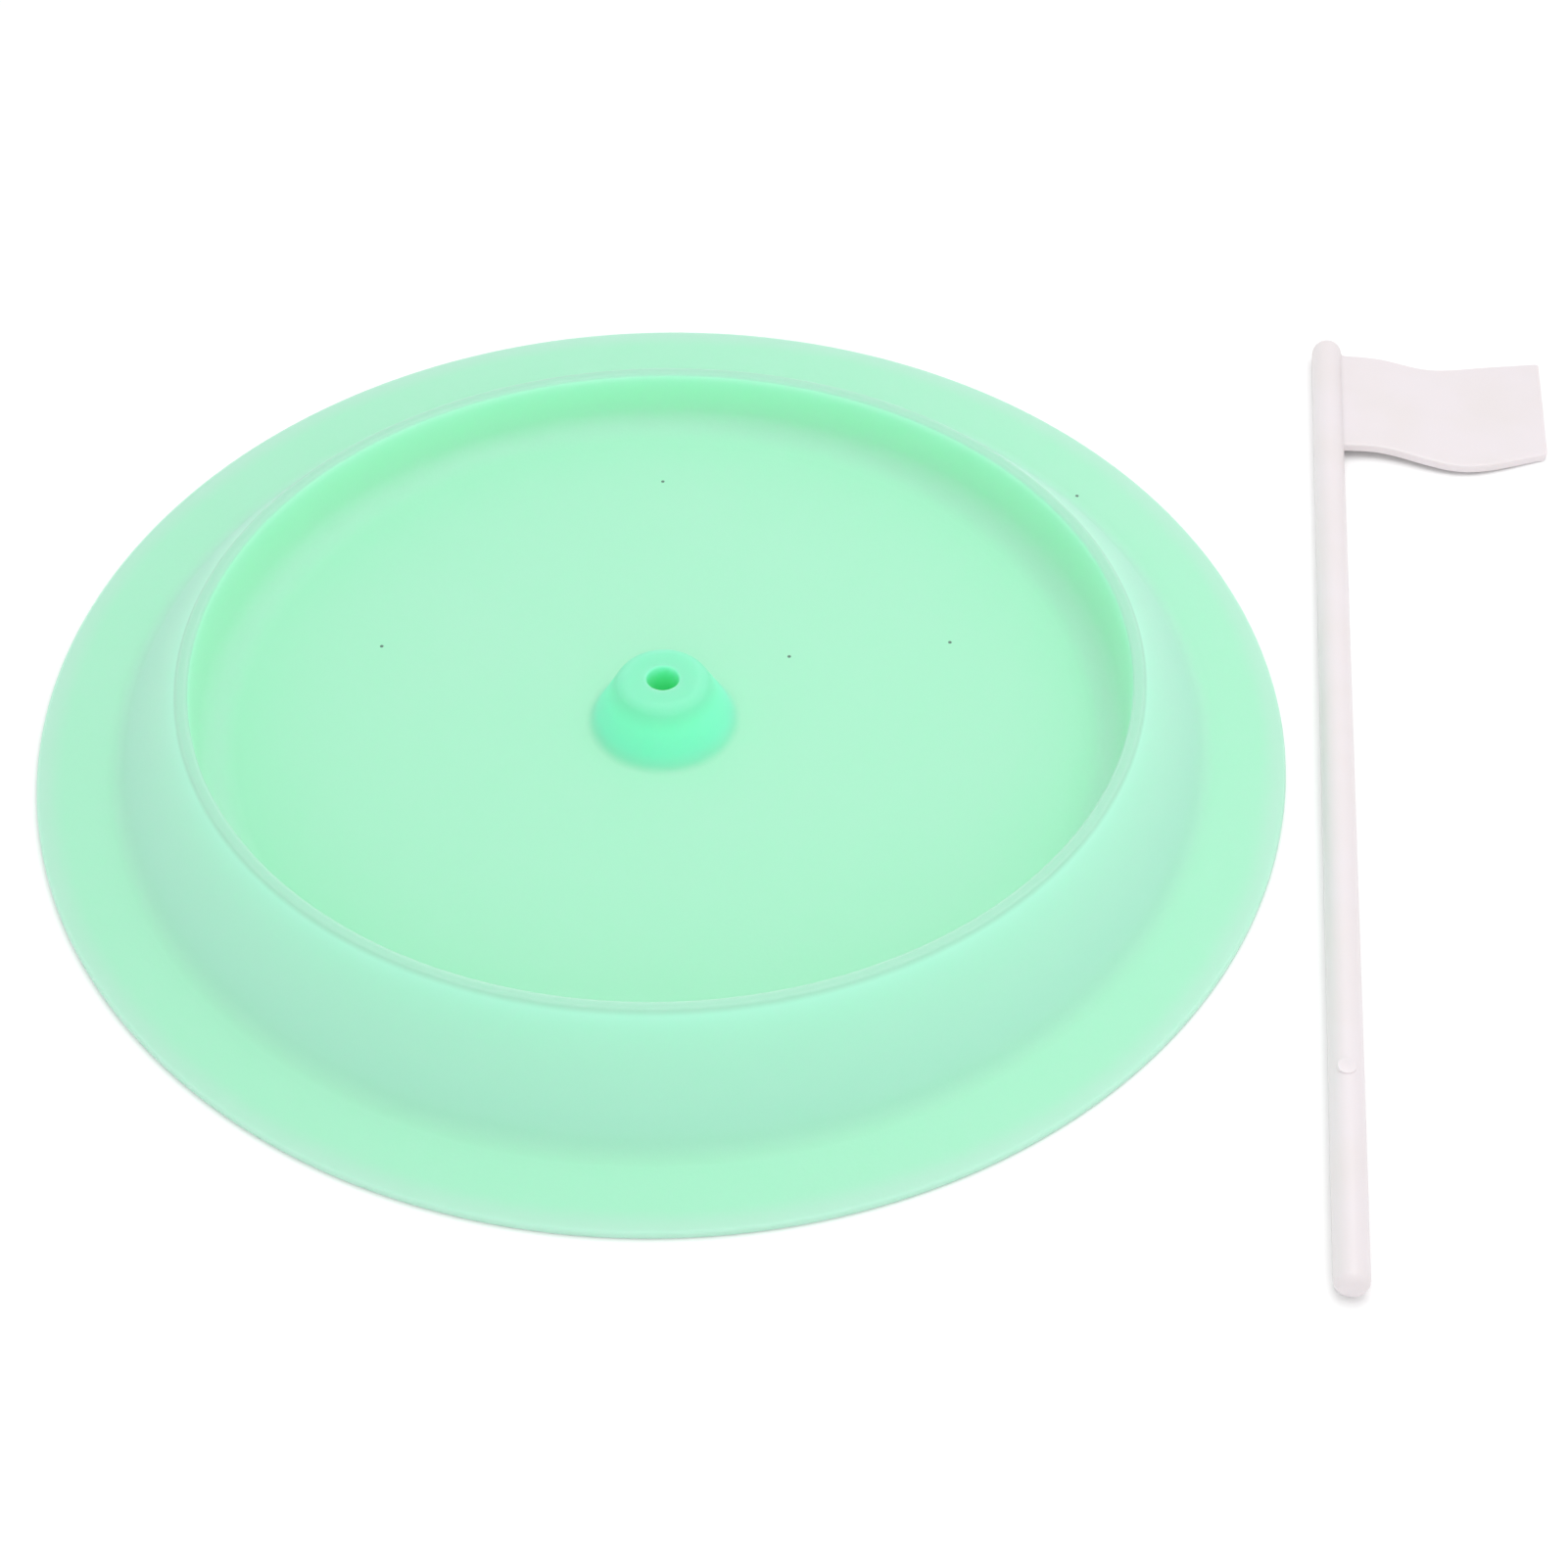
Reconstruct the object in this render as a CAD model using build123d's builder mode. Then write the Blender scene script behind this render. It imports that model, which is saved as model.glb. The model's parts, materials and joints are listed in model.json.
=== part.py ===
from build123d import *

# A soft practice putting cup and the loose pin flag that plugs into its middle, lying side by side.
# Millimetres, +Z up. The origin is on the cup's axis, on the face that it rests on.

import os
from math import asin, cos, radians, sin

# --- putting cup: one silicone moulding -----------------------------------------------------------
opening_dia = 108.0  # inside the lip: the size of a hole on a green
cup_dia = 145.4  # outer edge of the flange
lip_height = 12.2  # table to lip, on the cup's axis
lip_tilt = 3.4  # degrees: the lip is highest at -Y and lowest at +Y
lip_width = 1.2
foot_dia = 128.4  # outside the wall, down at the table
floor_dia = 107.2  # inside the wall, down at the table
rim_thick = 1.0  # flange at its outer edge
flange_thick = 1.5  # flange at its root, inside the wall
flange_root = 4.0  # from the opening out to there
floor_thick = 1.2

boss_base_dia = 17.0
boss_top_dia = 10.1
boss_height = 6.8  # above the floor
socket_skin = 1.4  # silicone left under the flag hole

rim_round = 0.35
foot_round = 3.0
lip_round = 0.45
floor_round = 4.0
boss_foot_round = 1.2
boss_top_round = 1.8
socket_mouth_round = 0.3

# --- pin flag: one plastic moulding ---------------------------------------------------------------
flag_length = 150.0
shaft_dia = 3.78
seat_dia = 3.74  # the pole's foot, the stretch that plugs into the boss
seat_length = 10.0
seat_taper = 1.0  # from the seat up to the shaft
pole_foot_round = 1.2
panel_reach = 28.1  # pole axis to the free edge
panel_thick = 1.2
panel_corner = 0.6
panel_join_round = 0.5
socket_dia = seat_dia + 0.06  # flag hole in the boss: the pole slides in with no play to see

# The panel's waved edges: distance out from the pole's axis, height above the pole's tip
panel_top_wave = [(0, -2.6), (6.5, -2.35), (13.5, -3.5), (21.0, -1.7), (panel_reach, 0.2)]
panel_bottom_wave = [(0, -20.9), (6.5, -20.3), (17.3, -22.3), (panel_reach, -18.2)]

witness_dia = 2.0  # low round pad that the mould leaves on the pole
witness_height = 0.12
witness_up = 26.9  # above the pole's foot
witness_aside = -0.3

# --- how the flag lies ----------------------------------------------------------------------------
foot_x = 71.2
foot_y = -79.3
lay_turn = 5.55  # degrees that the tip leans towards +X from the +Y direction

shaft_r = shaft_dia / 2
seat_r = seat_dia / 2
opening_r = opening_dia / 2
boss_top = floor_thick + boss_height
lay_roll = asin((shaft_r - panel_thick / 2) / panel_reach)  # the free edge drops to the table
along = Vector(sin(radians(lay_turn)), cos(radians(lay_turn)), 0)
across = Vector(along.Y * cos(lay_roll), -along.X * cos(lay_roll), -sin(lay_roll))
pole_foot = Vector(foot_x, foot_y, shaft_r)
pole_axis = Axis(pole_foot, along)

# x runs out along the panel, y runs up the pole and z is the panel's upper side
panel_plane = Plane(origin=pole_foot, x_dir=across, z_dir=across.cross(along))

os.makedirs("parts", exist_ok=True)


# --- putting_cup ----------------------------------------------------------------------------------
# Floor, boss and flange: one level sheet
rim_edge = (cup_dia / 2, rim_thick)
boss_foot = (boss_base_dia / 2, floor_thick)
boss_shoulder = (boss_top_dia / 2, boss_top)
socket_mouth = (socket_dia / 2, boss_top)
sheet_rounds = {
    rim_edge: rim_round,
    boss_foot: boss_foot_round,
    boss_shoulder: boss_top_round,
    socket_mouth: socket_mouth_round,
}

# Wall: a ring that stands level on the table and narrows to the leaning lip
lip_normal = Vector(0, sin(radians(lip_tilt)), cos(radians(lip_tilt)))
lip_plane = Plane(origin=(0, 0, lip_height), x_dir=(1, 0, 0), z_dir=lip_normal)

with BuildPart() as wall:
    with BuildSketch(Plane.XY):
        Circle(foot_dia / 2)
    with BuildSketch(lip_plane):
        Circle(opening_r + lip_width)
    loft(ruled=True)
    with BuildSketch(Plane.XY):
        Circle(floor_dia / 2)
    with BuildSketch(lip_plane):
        Circle(opening_r)
    loft(ruled=True, mode=Mode.SUBTRACT)
    fillet(wall.faces().sort_by(Axis.Z)[-1].edges(), lip_round)

with BuildPart() as putting_cup:
    with BuildSketch(Plane.XZ) as half_section:
        with BuildLine():
            Polyline(
                (0, 0),
                (cup_dia / 2, 0),
                rim_edge,
                (opening_r + flange_root, flange_thick),
                (opening_r + lip_width, floor_thick),
                boss_foot,
                boss_shoulder,
                socket_mouth,
                (socket_dia / 2, socket_skin),
                (0, socket_skin),
                close=True,
            )
        make_face()
        for corner, radius in sheet_rounds.items():
            fillet(half_section.vertices().sort_by_distance(corner)[0], radius)
    revolve(axis=Axis.Z)
    add(wall.part)
    foot_edge = putting_cup.edges(Select.NEW).sort_by(SortBy.LENGTH)[-1]
    fillet(foot_edge, foot_round)
    floor_edge = putting_cup.edges().sort_by_distance((floor_dia / 2, 0, floor_thick))[0]
    fillet(floor_edge, floor_round)
putting_cup.part.label = "putting_cup"
export_step(putting_cup.part, "parts/putting_cup.step")


# --- pin_flag -------------------------------------------------------------------------------------
with BuildPart() as pin_flag:
    with BuildSketch(panel_plane) as pole_section:
        with BuildLine():
            Polyline(
                (0, flag_length),
                (0, 0),
                (seat_r, 0),
                (seat_r, seat_length),
                (shaft_r, seat_length + seat_taper),
                (shaft_r, flag_length - shaft_r),
            )
            RadiusArc((shaft_r, flag_length - shaft_r), (0, flag_length), -shaft_r)
        make_face()
        fillet(pole_section.vertices().sort_by_distance((seat_r, 0))[0], pole_foot_round)
    revolve(axis=pole_axis)

    with BuildSketch(panel_plane) as panel_outline:
        with BuildLine():
            top = Spline([(x, flag_length + y) for x, y in panel_top_wave])
            bottom = Spline([(x, flag_length + y) for x, y in panel_bottom_wave])
            Line(top @ 0, bottom @ 0)
            Line(top @ 1, bottom @ 1)
        make_face()
        fillet(panel_outline.vertices().group_by(Axis.X)[-1], panel_corner)
    extrude(amount=panel_thick / 2, both=True)
    lengthwise_edges = pin_flag.edges(Select.NEW).filter_by(pole_axis)
    fillet(lengthwise_edges.group_by(Axis(pole_foot, across))[0], panel_join_round)

    with BuildSketch(panel_plane.offset(shaft_r + witness_height)) as witness:
        with Locations((witness_aside, witness_up)):
            Circle(witness_dia / 2)
    extrude(amount=-shaft_r)
pin_flag.part.label = "pin_flag"
export_step(pin_flag.part, "parts/pin_flag.step")
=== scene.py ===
import json
from math import asin, cos, pi, radians, sin

import bmesh
import bpy
from mathutils import Matrix, Vector


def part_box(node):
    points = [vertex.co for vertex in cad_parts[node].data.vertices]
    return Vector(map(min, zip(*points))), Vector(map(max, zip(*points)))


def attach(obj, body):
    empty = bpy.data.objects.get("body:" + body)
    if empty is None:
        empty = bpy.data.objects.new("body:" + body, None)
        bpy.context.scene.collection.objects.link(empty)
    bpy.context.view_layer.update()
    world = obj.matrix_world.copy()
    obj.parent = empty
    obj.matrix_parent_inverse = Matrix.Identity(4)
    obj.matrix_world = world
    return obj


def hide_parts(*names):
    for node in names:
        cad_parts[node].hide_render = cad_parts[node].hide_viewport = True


# A soft mint silicone putting cup, with the small white flag that plugs into its boss lying beside it.

mm = 0.001
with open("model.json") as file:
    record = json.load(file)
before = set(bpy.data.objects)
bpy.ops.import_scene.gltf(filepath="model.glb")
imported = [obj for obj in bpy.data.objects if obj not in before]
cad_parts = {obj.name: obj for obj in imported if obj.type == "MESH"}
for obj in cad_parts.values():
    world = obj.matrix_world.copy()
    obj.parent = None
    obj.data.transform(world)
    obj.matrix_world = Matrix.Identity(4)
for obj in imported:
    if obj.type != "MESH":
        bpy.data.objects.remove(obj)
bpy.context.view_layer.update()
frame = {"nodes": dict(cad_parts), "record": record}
mounts = {mount["name"]: mount for mount in frame["record"]["mounts"]}
print("frame loaded:", sorted(frame["nodes"]))


def linear(hexColour):  # sRGB hex to the linear colour that shaders take
    channels = [int(hexColour[i:i + 2], 16) / 255 for i in (0, 2, 4)]
    return [c / 12.92 if c <= 0.04045 else ((c + 0.055) / 1.055) ** 2.4 for c in channels] + [1]


def addNode(tree, kind, settings=None, inputs=None):  # an input takes a value, or a socket to link from
    node = tree.nodes.new(kind)
    for name, value in (settings or {}).items():
        setattr(node, name, value)
    for socket, value in (inputs or {}).items():
        if isinstance(value, bpy.types.NodeSocket):
            tree.links.new(value, node.inputs[socket])
        else:
            node.inputs[socket].default_value = value
    return node


def newMaterial(name):  # an empty tree with its output
    material = bpy.data.materials.new(name)
    material.use_nodes = True
    material.node_tree.nodes.clear()
    return material, material.node_tree


def finishMaterial(tree, shader):
    addNode(tree, "ShaderNodeOutputMaterial", inputs={"Surface": shader.outputs[0]})


def putInScene(name, data):
    thing = bpy.data.objects.new(name, data)
    bpy.context.scene.collection.objects.link(thing)
    return thing


def settle(piece):  # what its modifier makes becomes its own mesh
    graph = bpy.context.evaluated_depsgraph_get()
    made = bpy.data.meshes.new_from_object(piece.evaluated_get(graph))
    piece.modifiers.clear()
    piece.data = made


def finishMesh(work, mesh):  # faces turned outwards
    bmesh.ops.recalc_face_normals(work, faces=work.faces)
    work.to_mesh(mesh)
    work.free()
    return mesh


# Silicone: platinum-cured rubber, dyed mint and pressed in a bead-blasted mould, so it comes out satin.
# Light goes a few millimetres into it: thin stretches look pale and thick ones look deep and green.

siliconeLook = {
    "sheetColour": "A8E5C6",
    # painted light: the upright inner wall gets less light, so its colour is paler than the sheet's to lift
    # that shade
    "innerWallColour": "B0EDCD",
    "outerWallColour": "ADE6CE",  # painted light: the wall thins upwards, with light from both sides, so its colour is painted paler
    # painted shade: darker than the walls, to dim the bright line that light makes on the thin rounded lip
    "lipColour": "9ACDB5",
    "rimColour": "B4E1CC",  # painted light: the flange's outermost millimetres, painted paler because they are thin enough for the table's light to show through
    # painted light: the boss's sides painted a deep, glowing green
    "bossColour": "8AF6CC",
    # painted shade: the boss's top painted darker than its sides
    "bossTopColour": "86E0BA",
    # painted light: the hole in the boss painted bright green, to light the recess
    "socketColour": "8CFFC8",
    "grain": 0.45,  # mm between the blasted mould's dimples, coarser than the real 0.1 so that it shows
    "grainHeight": 0.04,  # mm
    "grainStrength": 0.25,
    "roughness": (0.5, 0.62),  # from the dimples' floors to the ground between them
    "refraction": 1.41,
    "cloud": 26.0,  # mm across a patch of slightly uneven dye
    "cloudShare": 0.12,  # how far such a patch goes towards the flange edge's painted pale colour, or away from it
    "dustSpacing": 17.0,  # mm between the cells that may hold a speck of dust
    "dustSize": 0.22,  # mm
    "dustShare": 0.2,  # of the cells
    "dustColour": "5F7F70",
    "wallDepth": 4.0,  # mm that light travels inside the wall and the boss
    "sheetDepth": 0.8,  # mm, in the floor and the flange, because the pale table sends the rest straight back
}
siliconePlaces = {  # what is measured, from which corner of the section, and mm to the mask's 0 and 1
    "pastFloor": ("radius", "floorCorner", -4.5, -0.5),
    "insideFoot": ("radius", "wallFoot", 1.5, -2.0),
    "pastLip": ("radius", "lipOuter", -0.9, -0.1),
    "high": ("level", "lipOuter", -0.7, -0.1),
    "rim": ("radius", "rimTop", -3.5, -0.3),
    "boss": ("radius", "bossFoot", 0.7, -1.0),
    "bossTop": ("level", "bossShoulder", -3.2, -0.2),
    "socket": ("radius", "socketMouth", 0.25, 0.0),
}


def makeSilicone():
    look = siliconeLook
    material, tree = newMaterial("mintSatinSilicone")
    place = addNode(tree, "ShaderNodeTexCoord").outputs["Object"]
    split = addNode(tree, "ShaderNodeSeparateXYZ", inputs={0: place}).outputs
    flat = addNode(tree, "ShaderNodeCombineXYZ", inputs={"X": split["X"], "Y": split["Y"]})
    radius = addNode(tree, "ShaderNodeVectorMath", {"operation": "LENGTH"}, {0: flat.outputs[0]})

    # height as it would be if the lip were level
    slope = sin(radians(cupLean)) / (cupSection["lipOuter"][1] * mm)
    fall = addNode(tree, "ShaderNodeMath", {"operation": "MULTIPLY_ADD"}, {0: split["Y"], 1: -slope, 2: 1.0})
    level = addNode(tree, "ShaderNodeMath", {"operation": "DIVIDE"}, {0: split["Z"], 1: fall.outputs[0]})

    # each place on the cup is a soft mask, which rises from 0 to 1
    measured = {"radius": radius.outputs["Value"], "level": level.outputs[0]}
    masks = {}
    for name, (measure, corner, start, full) in siliconePlaces.items():
        at = cupSection[corner][0 if measure == "radius" else 1]
        rising = start < full
        ramp = addNode(tree, "ShaderNodeMapRange", {"interpolation_type": "SMOOTHSTEP"}, {
            "Value": measured[measure], "From Min": (at + min(start, full)) * mm,
            "From Max": (at + max(start, full)) * mm,
            "To Min": 0.0 if rising else 1.0, "To Max": 1.0 if rising else 0.0})
        masks[name] = ramp.outputs["Result"]

    # uneven dye, and a few dark specks of dust, because silicone is tacky
    cloud = addNode(tree, "ShaderNodeTexNoise", {}, {
        "Vector": place, "Scale": 1 / (look["cloud"] * mm), "Detail": 3.0, "Roughness": 0.5})
    uneven = addNode(tree, "ShaderNodeMapRange", {}, {
        "Value": cloud.outputs["Fac"], "From Min": 0.3, "From Max": 0.7,
        "To Min": -look["cloudShare"], "To Max": look["cloudShare"]})
    cells = addNode(tree, "ShaderNodeTexVoronoi", {"voronoi_dimensions": "2D"}, {
        "Vector": place, "Scale": 1 / (look["dustSpacing"] * mm), "Randomness": 1.0})
    cellKind = addNode(tree, "ShaderNodeSeparateColor", {}, {0: cells.outputs["Color"]})
    masks["uneven"] = uneven.outputs["Result"]
    masks["fromSpeck"] = cells.outputs["Distance"]
    masks["chance"] = cellKind.outputs[0]

    # masks joined to each other, or to a number
    speckReach = look["dustSize"] / look["dustSpacing"]
    for name, operation, first, second in (
            ("wall", "MULTIPLY", "pastFloor", "insideFoot"), ("outerWall", "MULTIPLY", "wall", "pastLip"),
            ("lip", "MULTIPLY", "wall", "high"), ("standing", "MAXIMUM", "wall", "boss"),
            ("bossTop", "MULTIPLY", "bossTop", "boss"), ("rim", "ADD", "rim", "uneven"),
            ("near", "LESS_THAN", "fromSpeck", speckReach),
            ("kept", "GREATER_THAN", "chance", 1 - look["dustShare"]),
            ("speck", "MULTIPLY", "near", "kept"), ("lying", "SUBTRACT", 1.0, "standing"),
            ("dust", "MULTIPLY", "speck", "lying")):
        joined = addNode(tree, "ShaderNodeMath", {"operation": operation, "use_clamp": True}, {
            0: masks.get(first, first), 1: masks.get(second, second)})
        masks[name] = joined.outputs[0]

    # the colour of each place lies over the ones before it; all but the dust are painted light and shade
    colour = linear(look["sheetColour"])
    for layer in ("rim", "wall", "outerWall", "lip", "boss", "bossTop", "socket", "dust"):
        name = "innerWallColour" if layer == "wall" else layer + "Colour"
        colour = addNode(tree, "ShaderNodeMix", {"data_type": "RGBA"}, {
            "Factor": masks[layer], "A": colour, "B": linear(look[name])}).outputs["Result"]
    depth = addNode(tree, "ShaderNodeMapRange", {}, {
        "Value": masks["standing"], "To Min": look["sheetDepth"] * mm, "To Max": look["wallDepth"] * mm})

    grain = addNode(tree, "ShaderNodeTexNoise", {}, {
        "Vector": place, "Scale": 1 / (look["grain"] * mm), "Detail": 4.0, "Roughness": 0.6})
    dimples = addNode(tree, "ShaderNodeBump", {}, {
        "Height": grain.outputs["Fac"], "Strength": look["grainStrength"],
        "Distance": look["grainHeight"] * mm})
    smoothest, roughest = look["roughness"]
    sheen = addNode(tree, "ShaderNodeMapRange", {}, {
        "Value": grain.outputs["Fac"], "From Min": 0.3, "From Max": 0.7,
        "To Min": smoothest, "To Max": roughest})
    shader = addNode(tree, "ShaderNodeBsdfPrincipled", {"subsurface_method": "RANDOM_WALK"}, {
        "Base Color": colour, "Roughness": sheen.outputs["Result"], "IOR": look["refraction"],
        "Normal": dimples.outputs[0], "Subsurface Weight": 1.0, "Subsurface Radius": (1.0, 1.0, 1.0),
        "Subsurface Scale": depth.outputs["Result"]})
    finishMaterial(tree, shader)
    return material


# Plastic: white ABS, injection moulded in a polished steel tool, so it is smooth with a dull shine.

plasticLook = {
    "colour": "E2DBDE",
    "warmColour": "E0D9DA",
    "flow": 9.0,  # mm across a patch where the melt cooled a little warmer in colour
    "grain": 0.5,  # mm, the faint orange peel of the mould
    "grainHeight": 0.03,  # mm
    "grainStrength": 0.15,
    "roughness": (0.36, 0.46),
    "refraction": 1.53,
    "glow": 0.35,  # share of the light that goes in and comes out again nearby
    "glowDepth": 0.6,  # mm
    "glowSpread": (1.0, 0.9, 0.85),  # red goes furthest
}


def makePlastic():
    look = plasticLook
    material, tree = newMaterial("whiteMouldedAbs")
    place = addNode(tree, "ShaderNodeTexCoord").outputs["Object"]
    flow = addNode(tree, "ShaderNodeTexNoise", {}, {
        "Vector": place, "Scale": 1 / (look["flow"] * mm), "Detail": 2.0})
    warmth = addNode(tree, "ShaderNodeMapRange", {}, {
        "Value": flow.outputs["Fac"], "From Min": 0.4, "From Max": 0.7})
    colour = addNode(tree, "ShaderNodeMix", {"data_type": "RGBA"}, {
        "Factor": warmth.outputs["Result"], "A": linear(look["colour"]), "B": linear(look["warmColour"])})
    peel = addNode(tree, "ShaderNodeTexNoise", {}, {
        "Vector": place, "Scale": 1 / (look["grain"] * mm), "Detail": 3.0})
    skin = addNode(tree, "ShaderNodeBump", {}, {
        "Height": peel.outputs["Fac"], "Strength": look["grainStrength"],
        "Distance": look["grainHeight"] * mm})
    smoothest, roughest = look["roughness"]
    sheen = addNode(tree, "ShaderNodeMapRange", {}, {
        "Value": peel.outputs["Fac"], "From Min": 0.3, "From Max": 0.7,
        "To Min": smoothest, "To Max": roughest})
    shader = addNode(tree, "ShaderNodeBsdfPrincipled", {"subsurface_method": "RANDOM_WALK"}, {
        "Base Color": colour.outputs["Result"], "Roughness": sheen.outputs["Result"],
        "IOR": look["refraction"], "Normal": skin.outputs[0], "Subsurface Weight": look["glow"],
        "Subsurface Radius": look["glowSpread"], "Subsurface Scale": look["glowDepth"] * mm})
    finishMaterial(tree, shader)
    return material


# Putting cup: half of its section, turned about the upright axis. The wall leans, so that its lip slopes.

socketRadius = mounts["flag_socket"]["dims"]["r_mm"]
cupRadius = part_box("putting_cup")[1].x / mm
cupLean = 3.4  # degrees that the lip slopes, down towards the far side

cupSection = {  # corner: distance from the axis, height and rounding, in mm, from underneath to the socket
    "underCentre": (0.0, 0.0, 0.0),
    "rimUnder": (cupRadius, 0.0, 0.25),
    "rimTop": (cupRadius, 1.0, 0.35),
    "wallFoot": (63.23, 1.32, 3.0),
    "lipOuter": (55.2, 12.2, 0.45),
    "lipInner": (54.0, 12.2, 0.45),
    "floorCorner": (53.64, 1.2, 4.0),
    "bossFoot": (8.5, 1.2, 1.2),
    "bossShoulder": (5.05, 8.0, 1.8),
    "socketMouth": (socketRadius, 8.0, 0.3),
    "socketBottom": (socketRadius, 1.4, 0.3),
    "socketCentre": (0.0, 1.4, 0.0),
}
cupMesh = {
    "turns": 288,  # faces round the cup
    "arcPoints": 7,  # points on each rounded corner
    "step": 1.6,  # mm, the longest face across a straight stretch
    "wallStart": 30.0,  # mm from the axis: what stands up further out leans
    "weld": 0.001,  # mm
}


def buildTurningTree(corners):
    tree = bpy.data.node_groups.new("turnedSection", "GeometryNodeTree")
    face = tree.interface
    face.new_socket("material", in_out="INPUT", socket_type="NodeSocketMaterial")
    for name in ("turns", "arcPoints"):
        face.new_socket(name, in_out="INPUT", socket_type="NodeSocketInt")
    for name in ("step", "lean", "wallStart", "weld"):
        face.new_socket(name, in_out="INPUT", socket_type="NodeSocketFloat")
    for corner in corners:
        for size in ("Radius", "Height", "Round"):
            face.new_socket(corner + size, in_out="INPUT", socket_type="NodeSocketFloat")
    face.new_socket("cup", in_out="OUTPUT", socket_type="NodeSocketGeometry")
    given = addNode(tree, "NodeGroupInput").outputs
    index = addNode(tree, "GeometryNodeInputIndex").outputs[0]
    spot = addNode(tree, "GeometryNodeInputPosition").outputs[0]

    # the corners, each point of a line taking the place and rounding of the corner with its number
    places = addNode(tree, "GeometryNodeIndexSwitch", {"data_type": "VECTOR"}, {"Index": index})
    rounds = addNode(tree, "GeometryNodeIndexSwitch", {"data_type": "FLOAT"}, {"Index": index})
    for number, corner in enumerate(corners):
        for switch in (places, rounds):
            if number >= len(switch.index_switch_items):
                switch.index_switch_items.new()
        place = addNode(tree, "ShaderNodeCombineXYZ", inputs={
            "X": given[corner + "Radius"], "Z": given[corner + "Height"]})
        tree.links.new(place.outputs[0], places.inputs[str(number)])
        tree.links.new(given[corner + "Round"], rounds.inputs[str(number)])
    line = addNode(tree, "GeometryNodeMeshLine", inputs={"Count": len(corners)})
    placed = addNode(tree, "GeometryNodeSetPosition", inputs={
        "Geometry": line.outputs[0], "Position": places.outputs[0]})
    sharp = addNode(tree, "GeometryNodeMeshToCurve", inputs={"Mesh": placed.outputs[0]})
    rounded = addNode(tree, "GeometryNodeFilletCurve", {"mode": "POLY"}, {
        "Curve": sharp.outputs[0], "Radius": rounds.outputs[0], "Count": given["arcPoints"]})

    # straight stretches are cut into steps
    following = addNode(tree, "ShaderNodeMath", {"operation": "ADD"}, {0: index, 1: 1.0})
    nextSpot = addNode(tree, "GeometryNodeFieldAtIndex", {"data_type": "FLOAT_VECTOR"}, {
        "Index": following.outputs[0], "Value": spot})
    reach = addNode(tree, "ShaderNodeVectorMath", {"operation": "DISTANCE"}, {
        0: spot, 1: nextSpot.outputs[0]})
    steps = addNode(tree, "ShaderNodeMath", {"operation": "DIVIDE"}, {
        0: reach.outputs["Value"], 1: given["step"]})
    cuts = addNode(tree, "ShaderNodeMath", {"operation": "FLOOR"}, {0: steps.outputs[0]})
    section = addNode(tree, "GeometryNodeSubdivideCurve", inputs={
        "Curve": rounded.outputs[0], "Cuts": cuts.outputs[0]})

    # a grid with a row for each point of the section, wrapped round the axis
    count = addNode(tree, "GeometryNodeAttributeDomainSize", {"component": "CURVE"}, {0: section.outputs[0]})
    columns = addNode(tree, "ShaderNodeMath", {"operation": "ADD"}, {0: given["turns"], 1: 1.0})
    grid = addNode(tree, "GeometryNodeMeshGrid", inputs={
        "Vertices X": count.outputs["Point Count"], "Vertices Y": columns.outputs[0]})
    rowShare = addNode(tree, "ShaderNodeMath", {"operation": "DIVIDE"}, {0: index, 1: columns.outputs[0]})
    row = addNode(tree, "ShaderNodeMath", {"operation": "FLOOR"}, {0: rowShare.outputs[0]})
    column = addNode(tree, "ShaderNodeMath", {"operation": "MODULO"}, {0: index, 1: columns.outputs[0]})
    sample = addNode(tree, "GeometryNodeSampleIndex", {"data_type": "FLOAT_VECTOR", "domain": "POINT"}, {
        "Geometry": section.outputs[0], "Value": spot, "Index": row.outputs[0]})
    turn = addNode(tree, "ShaderNodeMath", {"operation": "DIVIDE"}, {0: column.outputs[0], 1: given["turns"]})
    angle = addNode(tree, "ShaderNodeMath", {"operation": "MULTIPLY"}, {0: turn.outputs[0], 1: 2 * pi})
    turned = addNode(tree, "ShaderNodeVectorRotate", {"rotation_type": "Z_AXIS"}, {
        "Vector": sample.outputs[0], "Angle": angle.outputs[0]})

    # the wall leans: it falls towards +Y and rises towards -Y, more the higher up it is
    high = addNode(tree, "ShaderNodeSeparateXYZ", inputs={0: sample.outputs[0]})
    aside = addNode(tree, "ShaderNodeSeparateXYZ", inputs={0: turned.outputs[0]})
    share = addNode(tree, "ShaderNodeMapRange", inputs={
        "Value": high.outputs["Z"], "From Min": given["wallFootHeight"], "From Max": given["lipOuterHeight"]})
    outside = addNode(tree, "ShaderNodeMath", {"operation": "GREATER_THAN"}, {
        0: high.outputs["X"], 1: given["wallStart"]})
    slope = addNode(tree, "ShaderNodeMath", {"operation": "SINE"}, {0: given["lean"]})
    drop = share
    for factor in (outside.outputs[0], slope.outputs[0], aside.outputs["Y"]):
        drop = addNode(tree, "ShaderNodeMath", {"operation": "MULTIPLY"}, {0: drop.outputs[0], 1: factor})
    lowered = addNode(tree, "ShaderNodeMath", {"operation": "SUBTRACT"}, {
        0: high.outputs["Z"], 1: drop.outputs[0]})
    leant = addNode(tree, "ShaderNodeCombineXYZ", inputs={
        "X": aside.outputs["X"], "Y": aside.outputs["Y"], "Z": lowered.outputs[0]})
    wrapped = addNode(tree, "GeometryNodeSetPosition", inputs={
        "Geometry": grid.outputs["Mesh"], "Position": leant.outputs[0]})
    closed = addNode(tree, "GeometryNodeMergeByDistance", inputs={
        "Geometry": wrapped.outputs[0], "Distance": given["weld"]})
    smooth = addNode(tree, "GeometryNodeSetShadeSmooth", inputs={"Geometry": closed.outputs[0]})
    real = addNode(tree, "GeometryNodeRealizeInstances", inputs={"Geometry": smooth.outputs[0]})
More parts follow.
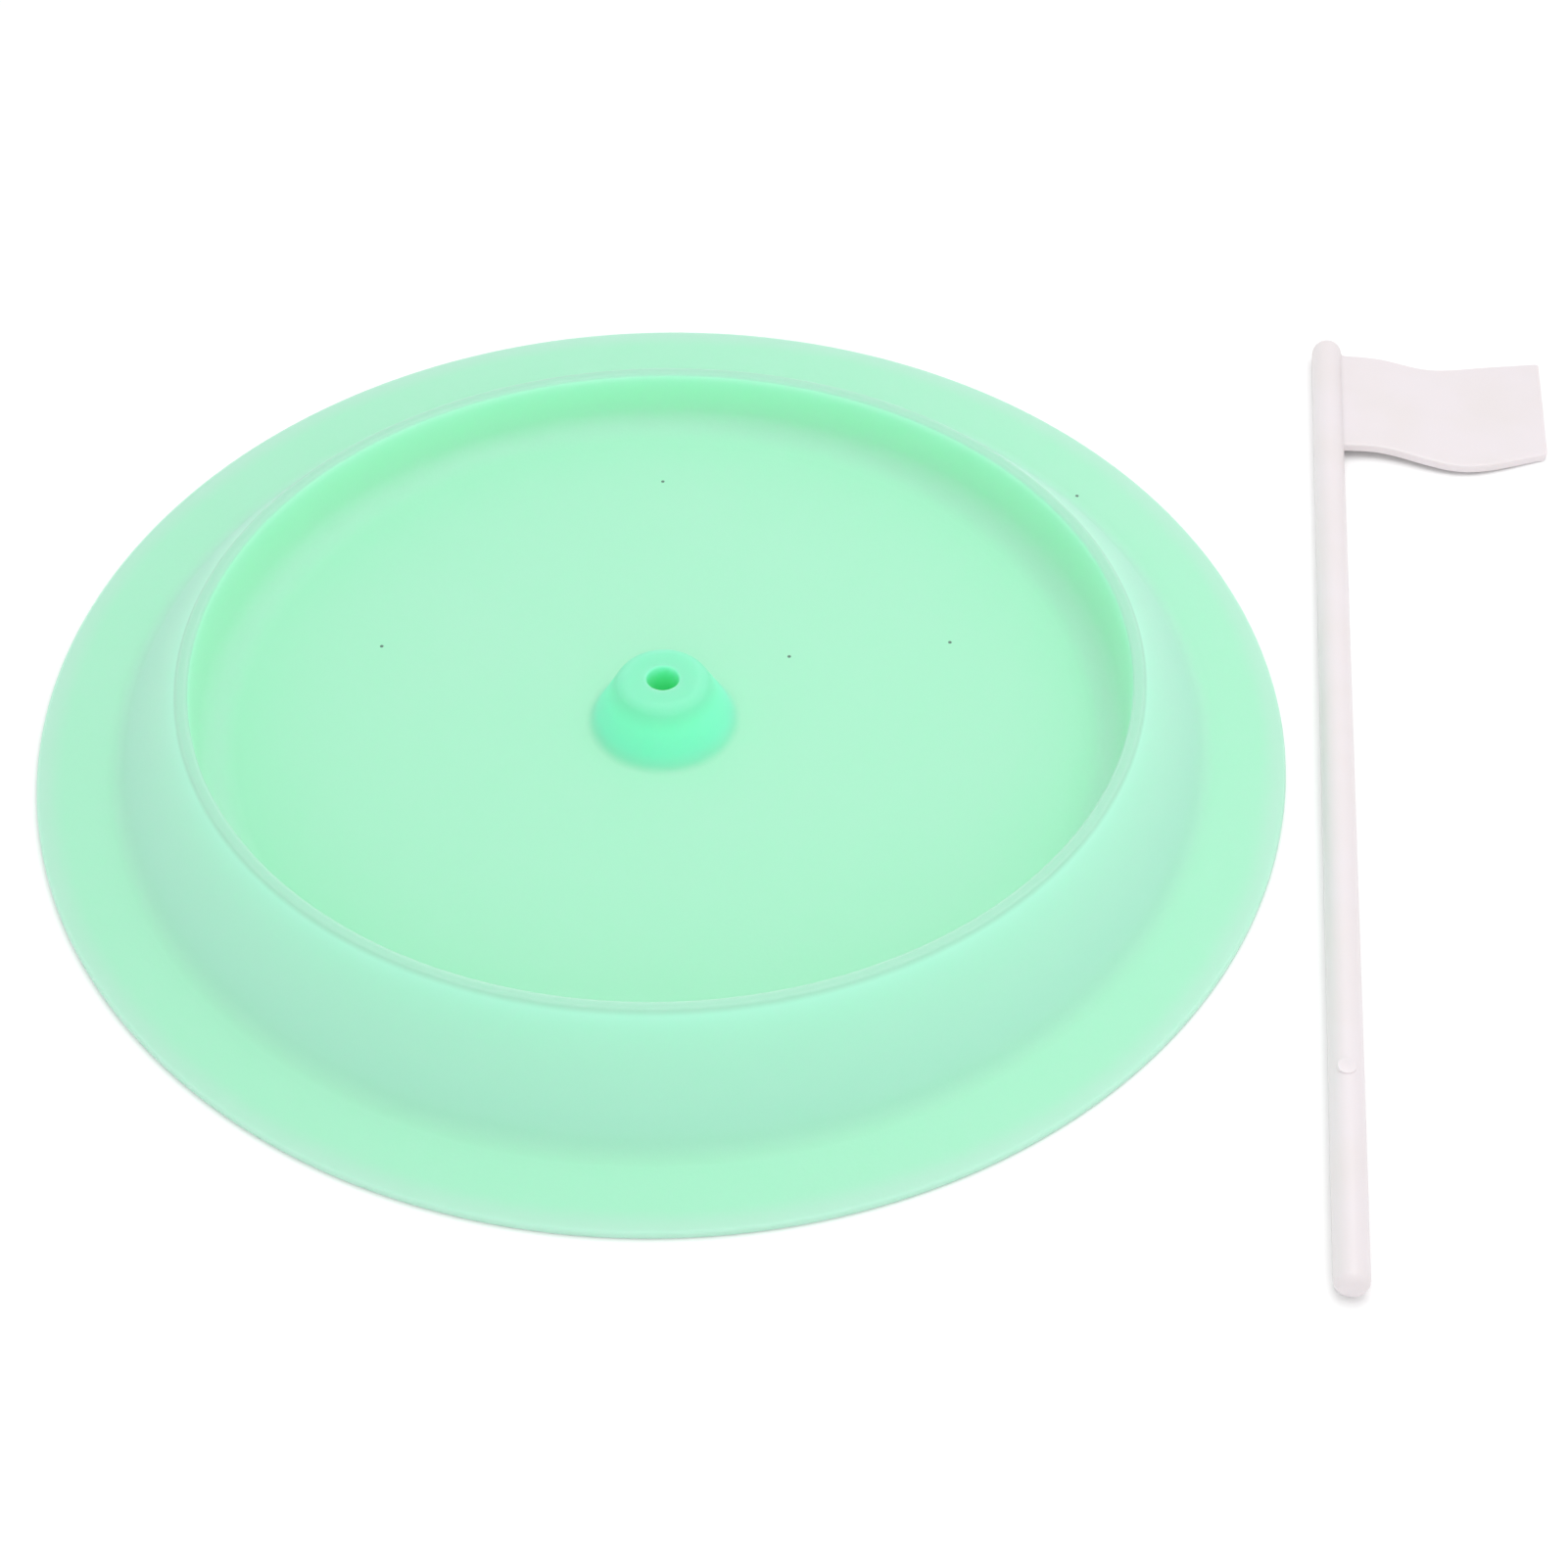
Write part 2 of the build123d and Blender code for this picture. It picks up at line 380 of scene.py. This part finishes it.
    painted = addNode(tree, "GeometryNodeSetMaterial", inputs={
        "Geometry": real.outputs[0], "Material": given["material"]})
    addNode(tree, "NodeGroupOutput", inputs={0: painted.outputs[0]})
    return tree


def makeCup(material):
    tree = buildTurningTree(cupSection)
    cup = putInScene("puttingCup", bpy.data.meshes.new("puttingCup"))
    turning = cup.modifiers.new("turning", "NODES")
    turning.node_group = tree
    values = {"material": material, "turns": cupMesh["turns"], "arcPoints": cupMesh["arcPoints"],
              "lean": radians(cupLean)}
    for name in ("step", "wallStart", "weld"):
        values[name] = cupMesh[name] * mm
    for corner, sizes in cupSection.items():
        for size, value in zip(("Radius", "Height", "Round"), sizes):
            values[corner + size] = value * mm
    for socket in tree.interface.items_tree:
        if socket.in_out == "INPUT":
            turning[socket.identifier] = values[socket.name]
    settle(cup)
    work = bmesh.new()
    work.from_mesh(cup.data)
    finishMesh(work, cup.data)
    return cup


# Pin flag: a round pole with a thin waved panel that grows out of its side.

flagSizes = {  # mm
    "length": 150.0,
    "shaftRadius": 1.89,
    "seatLength": 10.0,  # the slimmer foot that plugs into the cup
    "seatTaper": 1.0,
    "footRound": 1.2,
    "reach": 28.1,  # pole axis to the panel's free edge
    "panelThickness": 1.2,
    "panelCorner": 0.6,
    "edgeRound": 0.2,  # the mould's draft and polish break every edge of the panel
    "joinRound": 0.5,
    "padRadius": 1.0,
    "padHeight": 0.12,
    "padRoot": 1.0,  # from the pole's axis to the pad's underside, which stays hidden in the pole
    "padRound": 0.05,
    "padUp": 26.9,
    "padAside": -0.3,
}
# the panel's two edges: mm out from the pole's axis, and above its tip
panelTop = [(0, -2.6), (6.5, -2.35), (13.5, -3.5), (21.0, -1.7), (28.1, 0.2)]
panelBottom = [(0, -20.9), (6.5, -20.3), (17.3, -22.3), (28.1, -18.2)]
flagMesh = {
    "turns": 64,  # faces round the pole
    "joinTurns": 10,  # of them, the ones that the panel grows from
    "joinSteps": 5,  # faces from the pole out to the flat of the panel
    "joinFlat": 0.3,  # mm from there to the first column
    "panelRows": 26,  # faces up the panel
    "cornerSteps": 2,  # faces from an edge to its corner's middle
    "leastCorner": 0.04,  # mm, so that no edge closes up where the free edge thins
    "freeEdgeSteps": 7,  # faces round the panel's far corners
    "ringStep": 1.5,  # mm between rings on the shaft
    "panelStep": 0.9,  # mm between columns of the panel
    "footSteps": 8,  # faces round the foot's edge
    "seatRings": 6,
    "domeSteps": 12,  # faces from the shaft to the tip
    "domeClear": 0.05,  # mm that a ring of the dome keeps from the panel's top
    "padTurns": 48,
    "smoothUpTo": 42,  # degrees between two faces that still shade as one
}


def wave(points, x):  # a smooth curve through the points
    last = len(points) - 1
    slopes = []
    for i in range(last + 1):
        before, after = points[max(i - 1, 0)], points[min(i + 1, last)]
        slopes.append((after[1] - before[1]) / (after[0] - before[0]))
    i = max(j for j in range(last) if points[j][0] <= x or j == 0)
    span = points[i + 1][0] - points[i][0]
    t = min((x - points[i][0]) / span, 1.0)
    return ((2 * t ** 3 - 3 * t ** 2 + 1) * points[i][1] + (t ** 3 - 2 * t ** 2 + t) * span * slopes[i]
            + (3 * t ** 2 - 2 * t ** 3) * points[i + 1][1] + (t ** 3 - t ** 2) * span * slopes[i + 1])


def spread(start, end, count):  # evenly spaced values, both ends included
    return [start + (end - start) * i / count for i in range(count + 1)]


def edgeSpots(length, count, corner):  # an edge of a rounded rectangle: distances along it and in from it
    steps = flagMesh["cornerSteps"]
    spots = []
    for i in range(count + 1):
        fromEnd = min(i, count - i)
        if fromEnd <= steps:
            angle = radians(45 + 45 * fromEnd / steps)
            along, inwards = corner * (1 - cos(angle)), corner * (1 - sin(angle))
            spots.append((along if i == fromEnd else length - along, inwards))
        else:
            spots.append((corner + (length - 2 * corner) * (i - steps) / (count - 2 * steps), 0.0))
    return spots


def panelLoop(half, low, high, corner, outAt):  # one closed section of the panel, from its lower edge round
    acrossCount, rowCount = flagMesh["joinTurns"], flagMesh["panelRows"]
    lower = [(s - half, low + t) for s, t in edgeSpots(2 * half, acrossCount, corner)]
    upperFace = [(half - t, low + s) for s, t in edgeSpots(high - low, rowCount, corner)]
    points = lower[:-1] + upperFace[:-1]
    points += [(-w, low + high - v) for w, v in points]
    return [Vector((outAt(w), v, w)) for w, v in points]


def panelLoops(axisOut):
    size = flagSizes
    r, h, f = size["shaftRadius"], size["panelThickness"] / 2, size["joinRound"]
    tip = size["length"]
    centre = Vector(((r + f) ** 2 - (h + f) ** 2, h + f))
    centre.x = centre.x ** 0.5  # the middle of the round that joins the pole to each face
    loops = []
    joinSteps = flagMesh["joinSteps"]
    for k in range(1, joinSteps + 1):
        sideAngle = pi + axisOut + (pi / 2 - axisOut) * k / joinSteps
        endAngle = pi + pi / 2 * k / joinSteps
        sideX = centre.x + f * cos(sideAngle)
        endX = r + f + f * cos(endAngle)
        half = centre.y + f * sin(sideAngle)
        rise = f * (1 + sin(endAngle))
        low = tip + wave(panelBottom, endX) - rise
        high = tip + wave(panelTop, endX) + rise
        corner = size["edgeRound"] * k / joinSteps
        loops.append(panelLoop(half, low, high, corner,
                               lambda w: endX + (sideX - endX) * min(abs(w) / half, 1.0) ** 2))
    start, end = r + f + flagMesh["joinFlat"], size["reach"] - size["panelCorner"]
    columns = spread(start, end, round((end - start) / flagMesh["panelStep"]))
    edgeSteps = flagMesh["freeEdgeSteps"]
    columns += [end + size["panelCorner"] * sin(pi / 2 * k / edgeSteps) for k in range(1, edgeSteps + 1)]
    for x in columns:
        past = max(x - end, 0.0)
        drawIn = size["panelCorner"] - max(size["panelCorner"] ** 2 - past ** 2, 0.0) ** 0.5
        over = max(x - (size["reach"] - size["edgeRound"]), 0.0)
        thin = size["edgeRound"] - max(size["edgeRound"] ** 2 - over ** 2, 0.0) ** 0.5
        corner = max(size["edgeRound"] - thin, flagMesh["leastCorner"])
        low, high = tip + wave(panelBottom, x) + drawIn, tip + wave(panelTop, x) - drawIn
        loops.append(panelLoop(h - thin, low, high, corner, lambda w, x=x: x))
    return loops


def poleRings(seatRadius, windowLow, windowHigh):  # height and radius of each ring, and the panel's first row
    size = flagSizes
    r, tipRound, footRound = size["shaftRadius"], size["shaftRadius"], size["footRound"]
    footFlat = seatRadius - footRound
    rings = [(0.0, footFlat * 0.5)]
    rings += [(footRound * (1 - cos(a)), footFlat + footRound * sin(a))
              for a in spread(0.0, pi / 2, flagMesh["footSteps"])]
    seatTop = size["seatLength"] + size["seatTaper"]
    rings += [(v, seatRadius) for v in spread(footRound, size["seatLength"], flagMesh["seatRings"])[1:]]
    shaftCount = round((windowLow - seatTop) / flagMesh["ringStep"])
    rings += [(v, r) for v in spread(seatTop, windowLow, shaftCount)]
    firstRow = len(rings) - 1
    rings += [(v, r) for v in spread(windowLow, windowHigh, flagMesh["panelRows"])[1:]]
    domeBase = size["length"] - tipRound
    if domeBase > windowHigh:
        rings.append(((domeBase + windowHigh) / 2, r))
    for a in spread(0.0, pi / 2, flagMesh["domeSteps"])[:-1]:
        if domeBase + tipRound * sin(a) > windowHigh + flagMesh["domeClear"]:
            rings.append((domeBase + tipRound * sin(a), tipRound * cos(a)))
    return rings, firstRow


def makeFlag(material):
    size = flagSizes
    seatRadius = mounts["flag_foot"]["dims"]["r_mm"]
    r, h, f = size["shaftRadius"], size["panelThickness"] / 2, size["joinRound"]
    axisOut = asin((h + f) / (r + f))  # where the join's round meets the pole, from the panel's middle
    windowLow = size["length"] + wave(panelBottom, r) - f
    windowHigh = min(size["length"] + wave(panelTop, r) + f, size["length"] - r)
    rings, firstRow = poleRings(seatRadius, windowLow, windowHigh)
    joinTurns, rows = flagMesh["joinTurns"], flagMesh["panelRows"]
    angles = spread(-axisOut, axisOut, joinTurns)
    angles += spread(axisOut, 2 * pi - axisOut, flagMesh["turns"] - joinTurns)[1:-1]

    work = bmesh.new()
    pole = [[work.verts.new((radius * cos(a), v, radius * sin(a))) for a in angles] for v, radius in rings]
    turns = len(angles)
    for i in range(len(rings) - 1):
        for j in range(turns):
            if firstRow <= i < firstRow + rows and j < joinTurns:
                continue  # the panel grows here
            k = (j + 1) % turns
            work.faces.new((pole[i][j], pole[i][k], pole[i + 1][k], pole[i + 1][j]))
    for ring, height in ((pole[0], 0.0), (pole[-1], size["length"])):
        middle = work.verts.new((0.0, height, 0.0))
        for j in range(turns):
            work.faces.new((middle, ring[j], ring[(j + 1) % turns]))

    last = firstRow + rows
    root = [pole[firstRow][j] for j in range(joinTurns)]
    root += [pole[i][joinTurns] for i in range(firstRow, last)]
    root += [pole[last][j] for j in range(joinTurns, 0, -1)]
    root += [pole[i][0] for i in range(last, firstRow, -1)]
    before = root
    for loop in panelLoops(axisOut):
        after = [work.verts.new(point) for point in loop]
        for j in range(len(loop)):
            k = (j + 1) % len(loop)
            work.faces.new((before[j], before[k], after[k], after[j]))
        before = after

    # the free edge: rows of faces between its two sides
    side = before[joinTurns:joinTurns + rows + 1]
    otherSide = [before[0]] + before[:joinTurns + rows + joinTurns - 1:-1]
    bottomRow = before[:joinTurns + 1]
    topRow = before[joinTurns + rows:joinTurns + rows + joinTurns + 1][::-1]
    grid = [bottomRow]
    for i in range(1, rows):
        a, b = otherSide[i], side[i]
        middle = [work.verts.new(a.co.lerp(b.co, j / joinTurns)) for j in range(1, joinTurns)]
        grid.append([a] + middle + [b])
    grid.append(topRow)
    for i in range(rows):
        for j in range(joinTurns):
            work.faces.new((grid[i][j], grid[i][j + 1], grid[i + 1][j + 1], grid[i + 1][j]))

    flag = putInScene("pinFlag", finishMesh(work, bpy.data.meshes.new("pinFlag")))
    flag.data.materials.append(material)
    addWitnessPad(flag)

    # laid down: the pole along its mount's axis, the panel's free edge dropped to the table
    mount = mounts["flag_foot"]
    along = -Vector(mount["axis"]).normalized()
    roll = asin((r - h) / size["reach"])
    across = Vector((along.y * cos(roll), -along.x * cos(roll), -sin(roll)))
    up = across.cross(along)
    poleFoot = Vector(mount["pos_m"]) - along * (size["footRound"] + mount["dims"]["length_mm"] / 2) * mm
    turned = Matrix((across, along, up)).transposed().to_4x4()
    flag.data.transform(Matrix.Translation(poleFoot) @ turned @ Matrix.Scale(mm, 4))
    flag.data.shade_smooth()
    flag.data.set_sharp_from_angle(angle=radians(flagMesh["smoothUpTo"]))
    return flag


def addWitnessPad(flag):  # the low round pad that a blanked-off gate leaves on the pole
    size = flagSizes
    top = size["shaftRadius"] + size["padHeight"]
    radius, soft = size["padRadius"], size["padRound"]
    outline = [(radius, size["padRoot"]), (radius, top - soft),
               (radius - soft * 0.3, top - soft * 0.3), (radius - soft, top)]
    work = bmesh.new()
    angles = spread(0.0, 2 * pi, flagMesh["padTurns"])[:-1]
    circles = [[work.verts.new((size["padAside"] + out * cos(a), size["padUp"] + out * sin(a), height))
                for a in angles] for out, height in outline]
    for lower, upper in zip(circles, circles[1:]):
        for j in range(len(angles)):
            k = (j + 1) % len(angles)
            work.faces.new((lower[j], lower[k], upper[k], upper[j]))
    work.faces.new(circles[0])
    work.faces.new(circles[-1])
    pad = putInScene("witnessPad", finishMesh(work, bpy.data.meshes.new("witnessPad")))
    union = flag.modifiers.new("pad", "BOOLEAN")
    union.operation = "UNION"
    union.solver = "EXACT"
    union.object = pad
    settle(flag)
    bpy.data.objects.remove(pad)


# Studio: a pale matt table, a white room and two large soft lights.

studio = {
    "tableColour": "FBFBFB",
    "tableRoughness": 0.9,
    "tableShine": 0.1,
    "tableGrain": 900.0,  # bumps in a metre, hardly felt
    "tableGrainHeight": 0.1,  # mm
    "tableGrainStrength": 0.02,
    "tableHalf": 1.5,  # metres from its middle to its edge
    "tableDrop": 0.02,  # mm that it lies under the object, so that their faces don't coincide
    "roomLight": 0.835,
}
lamps = {  # watts, size and place in metres
    "overhead": (0.42, 0.30, (0.07, 0.02, 0.32)),
    "front": (0.30, 0.50, (0.04, -0.50, 0.32)),
}
view = {
    "target": (0.01416, -0.00967, 0.0005),  # metres
    "distance": 0.3506,  # metres
    "elevation": 46.871,  # degrees
    "roll": 0.586,  # degrees
    "lens": 69.71,  # mm
    "sensor": 36.0,  # mm
    "nearest": 0.01,  # metres
}


def makeStudio():
    material, tree = newMaterial("paleTable")
    place = addNode(tree, "ShaderNodeTexCoord").outputs["Object"]
    fine = addNode(tree, "ShaderNodeTexNoise", {}, {"Vector": place, "Scale": studio["tableGrain"]})
    bump = addNode(tree, "ShaderNodeBump", {}, {
        "Height": fine.outputs["Fac"], "Strength": studio["tableGrainStrength"],
        "Distance": studio["tableGrainHeight"] * mm})
    shader = addNode(tree, "ShaderNodeBsdfPrincipled", inputs={
        "Base Color": linear(studio["tableColour"]), "Roughness": studio["tableRoughness"],
        "Normal": bump.outputs[0], "Specular IOR Level": studio["tableShine"]})
    finishMaterial(tree, shader)
    table = bpy.data.meshes.new("table")
    half, drop = studio["tableHalf"], -studio["tableDrop"] * mm
    corners = [(-half, -half, drop), (half, -half, drop), (half, half, drop), (-half, half, drop)]
    table.from_pydata(corners, [], [(0, 1, 2, 3)])
    table.materials.append(material)
    top = putInScene("table", table)

    world = bpy.data.worlds.new("whiteRoom")
    world.use_nodes = True
    world.node_tree.nodes["Background"].inputs["Color"].default_value = (1, 1, 1, 1)
    world.node_tree.nodes["Background"].inputs["Strength"].default_value = studio["roomLight"]
    bpy.context.scene.world = world

    for name, (power, size, spot) in lamps.items():
        light = bpy.data.lights.new(name, "AREA")
        light.shape = "DISK"
        light.size = size
        light.energy = power
        lamp = putInScene(name, light)
        lamp.location = spot
        lamp.rotation_euler = (-Vector(spot)).to_track_quat("-Z", "Y").to_euler()
    bpy.context.scene.view_settings.view_transform = "Standard"


def makeCamera():
    tilt, roll = radians(view["elevation"]), radians(view["roll"])
    forward = Vector((0, cos(tilt), -sin(tilt)))
    right = Vector((1, 0, 0))
    up = right.cross(forward)
    axisX = right * cos(roll) + up * sin(roll)
    axisY = up * cos(roll) - right * sin(roll)
    lens = bpy.data.cameras.new("camera")
    lens.lens = view["lens"]
    lens.sensor_width = view["sensor"]
    lens.clip_start = view["nearest"]
    camera = putInScene("camera", lens)
    stand = Vector(view["target"]) - forward * view["distance"]
    facing = Matrix((axisX, axisY, -forward)).transposed().to_4x4()
    camera.matrix_world = Matrix.Translation(stand) @ facing
    bpy.context.scene.camera = camera


cup = makeCup(makeSilicone())
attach(cup, "cup")
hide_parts("putting_cup")
print("cup turned:", len(cup.data.polygons), "faces")

flag = makeFlag(makePlastic())
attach(flag, "flag")
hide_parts("pin_flag")
print("flag built:", len(flag.data.polygons), "faces")

makeStudio()
makeCamera()
print("studio and camera set")
